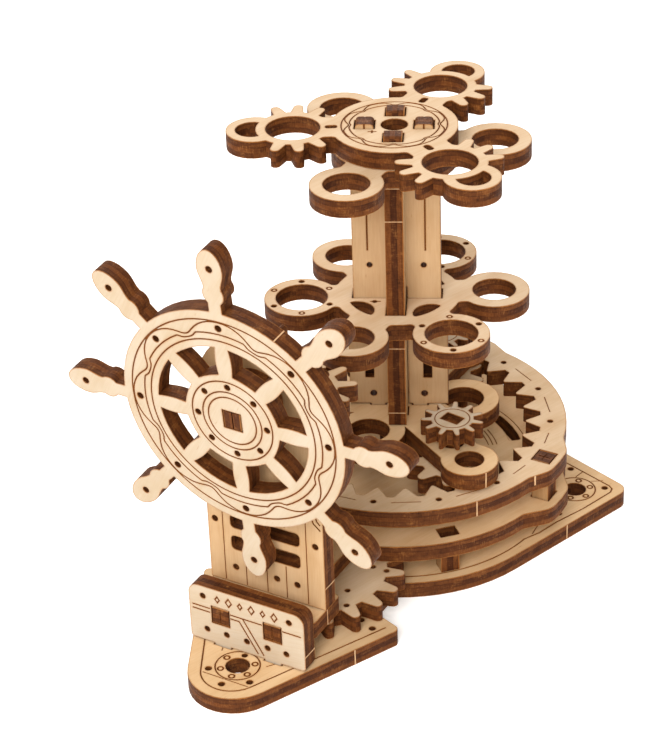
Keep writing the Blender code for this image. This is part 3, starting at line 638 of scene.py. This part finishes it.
def engrave_deck():
    """A circle, short arcs in four places and a slot mark across the end of each tenon."""
    marks = Cutter(level_plane("deck_plate"))
    marks.ring((0, 0), 7.45, FINE_LINE, LINE_DEPTH, 3.0)
    for k in range(4):
        for radius in (5.20, 5.45, 5.70):
            marks.line(arc(radius, 37 + 90 * k, 54 + 90 * k, step=3), FINE_LINE)
    tenons = Cutter(front_plane("deck_plate"))
    low, high = (corner[2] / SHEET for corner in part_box("deck_plate"))
    for side in (-1, 1):
        tenons.line([(side * 1.6, low + 0.03), (side * 1.6, high - 0.06)], 0.10)
    return engraved("deck_plate", [marks, tenons])


def from_post(angle):
    """Degrees from an angle round the ring plate to the nearest post."""
    return min(abs(angle - post) for post in (0, 90, 180, 360))


def engrave_ring_plate():
    """Holes and dashes in turn; a post takes a hole's place and shortens the dashes beside it."""
    marks = Cutter(level_plane("ring_gear_plate"))
    for k in range(15):
        angle = 24 * k
        if from_post(angle) >= 8:
            marks.hole(polar(8.63, angle), 0.17)
        middle = 12 + 24 * k
        half = 3.6 if from_post(middle) < 13 else 5.4
        marks.line([polar(8.66, middle - half), polar(8.66, middle + half)], FINE_LINE)
    return engraved("ring_gear_plate", [marks])


def engrave_post(node):
    """A cross on top of a post."""
    (left, front, _), (right, back, _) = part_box(node)
    middle_x = (left + right) / 2 / SHEET
    middle_y = (front + back) / 2 / SHEET
    plane = level_plane(node)
    strokes = [Cutter(plane), Cutter(plane)]
    strokes[0].line([(middle_x - 0.36, middle_y), (middle_x + 0.36, middle_y)], 0.07)
    strokes[1].line([(middle_x, middle_y - 0.36), (middle_x, middle_y + 0.36)], 0.07)
    return engraved(node, strokes)


# ---- the carousel ---------------------------------------------------------------------------------------
def engrave_top_gear():
    plane = level_plane("top_gear_plate")
    rings = Cutter(plane)
    rings.ring((0, 0), 2.86, LINE, LINE_DEPTH, 4.0)
    low_line = [(0, 2.45), (7, 2.45), (14, 2.45), (18, 2.42), (20.5, 2.37), (22.5, 2.355)]
    rings.closed_line(mirrored_period(low_line, 8, PLANK_TURN - 21))
    waves = Cutter(plane)
    arch = [(0, 2.80), (4, 2.81), (8, 2.79), (12, 2.71), (16, 2.60), (19, 2.51), (21, 2.475), (22.5, 2.47)]
    waves.closed_line(mirrored_period(arch, 8, PLANK_TURN - 21))
    mark = Cutter(plane)
    mark.line([(-0.86, -1.40), (-0.44, -1.20)], 0.09)
    upright_mark = Cutter(plane)
    upright_mark.line([(-0.73, -1.15), (-0.58, -1.46)], 0.09)
    return engraved("top_gear_plate", [rings, waves, mark, upright_mark])


def engrave_mid():
    plane = level_plane("mid_platform")
    rivets = Cutter(plane)
    for k in range(3):
        centre = polar(5.37, 90 + CAROUSEL_TURN + 120 * k)
        for m in range(6):
            place = polar(1.79, 60 * m, centre)
            if (m + k) % 2:
                rivets.hole(place, 0.17, 0.3)
            else:
                rivets.ring(place, 0.14, 0.10, LINE_DEPTH, 30.0)
    mark = Cutter(plane)
    mark.hole((-0.71, -1.39), 0.15, 0.2)
    line = Cutter(plane)
    line.line([(-0.95, -1.50), (-0.41, -1.24)], 0.08)
    return engraved("mid_platform", [rivets, mark, line])


def engrave_plank():
    """Slits above and blind pockets below, on both faces of the plank that faces the front."""
    cutters = []
    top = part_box("column_plank_a")[1][2] / SHEET
    for out in (plank_a, -plank_a):
        marks = Cutter(upright_plane(out, 0.5))
        for side in (-1, 1):
            marks.line([(side * 1.6, 17.2), (side * 1.6, top + 0.01)], 0.09)
            left = side * 1.65 - 0.25
            right = side * 1.65 + 0.25
            marks.prism([[(left, 9.0), (right, 9.0), (right, 11.0), (left, 11.0)]], 0.42)
        cutters.append(marks)
    return engraved("column_plank_a", cutters)


def engrave_pinions():
    pieces = []
    for k in range(3):
        joint = joints["planet_spin_%d" % (k + 1)]
        centre = (joint["pos_m"][0] / SHEET, joint["pos_m"][1] / SHEET)
        node = "planet_pinion_%d" % (k + 1)
        circle = Cutter(level_plane(node))
        circle.ring(centre, 0.97, FINE_LINE)
        pieces.append(engraved(node, [circle]))
    return pieces


def engrave_transfer_gear():
    centre_y = joints["transfer_spin"]["pos_m"][1] / SHEET
    holes = Cutter(level_plane("lower_transfer_gear"))
    for x, y in ((2.95, 1.65), (3.8, 1.65), (2.75, -0.9), (3.35, -2.1)):
        for turn in (0, 120, 240):
            place = polar(math.hypot(x, y), math.degrees(math.atan2(y, x)) + turn, (0, centre_y))
            holes.hole(place, 0.16)
    return engraved("lower_transfer_gear", [holes])


# ---- snapped tabs ---------------------------------------------------------------------------------------
def tab(name, body, plane, place, angle, width=0.10, thickness=1.0, low=0.0):
    """A sliver of bare wood across a cut edge, where the piece was joined to its sheet."""
    shape = bmesh.new()
    rows = []
    for z in (-thickness * (1 - low), -thickness * 0.62, -thickness * 0.3, -0.02):
        swell = TAB_PROUD * (1.0 if z < -0.3 else 0.7)
        offsets = ((-width / 2, -0.05), (-width / 3, swell), (width / 3, swell * 0.8), (width / 2, -0.05))
        turn = math.radians(angle)
        row = []
        for side, out in offsets:
            x = place[0] + out * math.cos(turn) - side * math.sin(turn)
            y = place[1] + out * math.sin(turn) + side * math.cos(turn)
            row.append(shape.verts.new((x, y, z)))
        rows.append(row)
    for below, above in zip(rows, rows[1:]):
        for i in range(4):
            after = (i + 1) % 4
            shape.faces.new((below[i], below[after], above[after], above[i]))
    shape.faces.new(rows[-1])
    shape.faces.new(list(reversed(rows[0])))
    bmesh.ops.recalc_face_normals(shape, faces=shape.faces)
    mesh = bpy.data.meshes.new(name)
    shape.to_mesh(mesh)
    shape.free()
    mesh.transform(plane)
    mesh.shade_smooth()
    mesh.set_sharp_from_angle(angle=math.radians(TAB_EDGE))
    mesh.materials.append(tab_wood)
    piece = bpy.data.objects.new(name, mesh)
    bpy.context.scene.collection.objects.link(piece)
    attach(piece, body)


# ---- build ----------------------------------------------------------------------------------------------
pieces = dict(frame["nodes"])
engravings = [engrave_wheel(), engrave_axle(), engrave_board(), engrave_tower(), engrave_base(),
              engrave_deck(), engrave_ring_plate(), engrave_top_gear(), engrave_mid(), engrave_plank(),
              engrave_transfer_gear()]
engravings += engrave_pinions()
engravings += [engrave_post(node) for node in ("ring_post_left", "ring_post_right", "ring_post_back")]
for piece in engravings:
    pieces[piece.name.replace("_engraved", "")] = piece


def plane_of(node):
    """Which way a node's faces point, and its grain."""
    if node in ("ship_wheel", "wheel_gear", "wheel_collar"):
        return wheel_out, WHEEL_PLANE.to_3x3() @ Vector((0.55, 1.0, 0))
    if node == "wheel_axle":
        return wheel_right, wheel_out
    if node == "name_board":
        return FRONT, Vector((1, 0, 0.1))
    if node in ("tower_front_plate", "tower_rear_plate", "wheel_bearing_boss"):
        return FRONT, UP
    if node == "column_plank_a":
        return plank_a, UP
    if node == "column_plank_b":
        return plank_b, UP
    if node in ("ring_post_left", "ring_post_right") or node.startswith("planet_axle"):
        return Vector((0, 1, 0)), UP
    if node in ("ring_post_back", "centre_pin"):
        return Vector((1, 0, 0)), UP
    if node == "deck_post_right":
        return Vector((0.69, 0.72, 0)), UP
    if node == "deck_post_left":
        return Vector((-0.69, 0.72, 0)), UP
    if node == "transfer_axle":
        return Vector((0.7, 0.7, 0)), UP
    return UP, Vector((0.35, 1.0, 0))


for number, node in enumerate(sorted(pieces)):
    piece = pieces[node]
    direction, grain = plane_of(node)
    direction = direction.normalized()
    heights = [vertex.co.dot(direction) / SHEET for vertex in frame["nodes"][node].data.vertices]
    thickness = max(heights) - min(heights)
    # Some nodes take tones with painted bounce light or painted shade in place of their slot's tones
    tones = TONES.get(node, FACES[slot_of[node]])
    material = plywood(node + "_ply", tones, direction, min(heights), thickness, grain, number)
    if piece in engravings:
        piece.data.materials.clear()
        piece.data.materials.append(material)
    else:
        for socket in piece.material_slots:
            socket.material = material

tab_wood = bare_wood("tab_wood", linear(206, 170, 128))
tab("wheel_tab_1", "wheel", WHEEL_PLANE, polar(6.545, 95), 95)
tab("wheel_tab_2", "wheel", WHEEL_PLANE, polar(6.545, 62), 62)
tab("ring_plate_tab_1", "frame", level_plane("ring_gear_plate"), (7.72, -5.64), -36.9)
tab("ring_plate_tab_2", "frame", level_plane("ring_gear_plate"), (9.50, -1.97), -33.2, 0.14, 0.7, low=0.1)
base_face = level_plane("base_plate")
tab("base_tab_1", "frame", base_face, (4.90, -14.66), -26)
tab("base_tab_2", "frame", base_face, (-4.90, -14.66), -154)
tab("base_tab_3", "frame", base_face, (10.20, 1.0), -18.6)
tab("base_tab_4", "frame", base_face, (-10.20, 1.0), -161.4)
tab("lower_platform_tab", "carousel", level_plane("lower_platform"), (7.74, -4.57), -30.7)
tab("board_tab", "frame", front_plane("name_board"), (3.55, 1.98), 0, 0.08)
tab("tower_tab", "frame", front_plane("tower_front_plate"), (3.55, 4.89), 0, 0.07)
tab("deck_tab", "frame", level_plane("deck_plate"), (3.50, -15.01), 0, 0.08)
plank_face = upright_plane(plank_b, 0.5)
for number, (reach, z) in enumerate(((2.45, 21.99), (2.45, 20.0), (2.80, 12.25), (2.80, 8.05))):
    tab("plank_tab_%d" % (number + 1), "carousel", plank_face, (-reach, z), 180, 0.07)

# ---- floor ----------------------------------------------------------------------------------------------
floor_mesh = bpy.data.meshes.new("floor")
floor_shape = bmesh.new()
bmesh.ops.create_grid(floor_shape, x_segments=1, y_segments=1, size=3.0)
floor_shape.to_mesh(floor_mesh)
floor_shape.free()
floor = bpy.data.objects.new("floor", floor_mesh)
floor.location.z = cad_box[0][2] - FLOOR_GAP
bpy.context.scene.collection.objects.link(floor)
floor_material = bpy.data.materials.new("floor_paper")
paper = Graph(floor_material)
spot = paper.node("ShaderNodeTexCoord").outputs["Object"]
fleck = paper.noise(paper.dot(spot, (900.0, 0, 0)), paper.dot(spot, (0, 900.0, 0)), 0.0)
paper_shader = paper.node("ShaderNodeBsdfPrincipled")
paper_colour = paper.mix(paper.span(fleck, -1, 1), (0.93, 0.93, 0.93, 1), (0.96, 0.96, 0.96, 1))
paper.feed(paper_shader.inputs["Base Color"], paper_colour)
paper.feed(paper_shader.inputs["Roughness"], paper.span(fleck, -1, 1, 0.85, 0.95))
paper_shader.inputs["Specular IOR Level"].default_value = 0.1
paper_shader.inputs["Emission Color"].default_value = (1.0, 1.0, 1.0, 1.0)
paper_shader.inputs["Emission Strength"].default_value = 0.32
paper_output = paper.node("ShaderNodeOutputMaterial")
paper.feed(paper_output.inputs["Surface"], paper_shader.outputs[0])
floor_mesh.materials.append(floor_material)


# ---- light and camera -----------------------------------------------------------------------------------
world = bpy.data.worlds.new("studio")
bpy.context.scene.world = world
world.use_nodes = True
sky_nodes = world.node_tree.nodes
sky_links = world.node_tree.links
ambient = sky_nodes["Background"]
ambient.inputs["Color"].default_value = (1.0, 0.94, 0.84, 1.0)
ambient.inputs["Strength"].default_value = 0.60
backdrop = sky_nodes.new("ShaderNodeBackground")
rays = sky_nodes.new("ShaderNodeLightPath")
sky = sky_nodes.new("ShaderNodeMixShader")
sky_links.new(rays.outputs["Is Camera Ray"], sky.inputs[0])
sky_links.new(ambient.outputs[0], sky.inputs[1])
sky_links.new(backdrop.outputs[0], sky.inputs[2])
sky_links.new(sky.outputs[0], sky_nodes["World Output"].inputs["Surface"])


OBJECT_MIDDLE = Vector((0, -0.02, 0.05))


def softbox(name, place, size, watts):
    """A square area light that faces the object's middle."""
    lamp = bpy.data.lights.new(name, "AREA")
    lamp.shape = "SQUARE"
    lamp.size = size
    lamp.energy = watts
    holder = bpy.data.objects.new(name, lamp)
    holder.location = place
    holder.rotation_euler = (OBJECT_MIDDLE - Vector(place)).to_track_quat("-Z", "Y").to_euler()
    bpy.context.scene.collection.objects.link(holder)


softbox("front_fill", (0.28, -0.90, 0.68), 0.60, 13.5)
softbox("key", (-0.45, -0.45, 0.95), 0.50, 3.5)
softbox("back_fill", (-0.40, 0.90, 0.60), 0.80, 7.0)

AZIMUTH = math.radians(30.432)
ELEVATION = math.radians(31.443)
ROLL = math.radians(-2.193)
CAMERA_PLACE = (0.22223, -0.41092, 0.32080)
SENSOR_WIDTH = 36.0      # millimetres
IMAGE_WIDTH = 654
FOCAL_LENGTH = 2394.66   # in the image's picture elements

ahead = Vector((-math.sin(AZIMUTH) * math.cos(ELEVATION),
                math.cos(AZIMUTH) * math.cos(ELEVATION),
                -math.sin(ELEVATION)))
level_right = Vector((math.cos(AZIMUTH), math.sin(AZIMUTH), 0))
level_up = level_right.cross(ahead)
camera_right = math.cos(ROLL) * level_right + math.sin(ROLL) * level_up
camera_up = -math.sin(ROLL) * level_right + math.cos(ROLL) * level_up
lens = bpy.data.cameras.new("camera")
lens.sensor_fit = "HORIZONTAL"
lens.sensor_width = SENSOR_WIDTH
lens.lens = SENSOR_WIDTH * FOCAL_LENGTH / IMAGE_WIDTH
lens.clip_start = 0.01
lens.clip_end = 20.0
camera = bpy.data.objects.new("camera", lens)
camera.matrix_world = Matrix((camera_right, camera_up, -ahead)).transposed().to_4x4()
camera.location = CAMERA_PLACE
bpy.context.scene.collection.objects.link(camera)
bpy.context.scene.camera = camera
bpy.context.scene.view_settings.view_transform = "Standard"
bpy.context.scene.view_settings.look = "None"
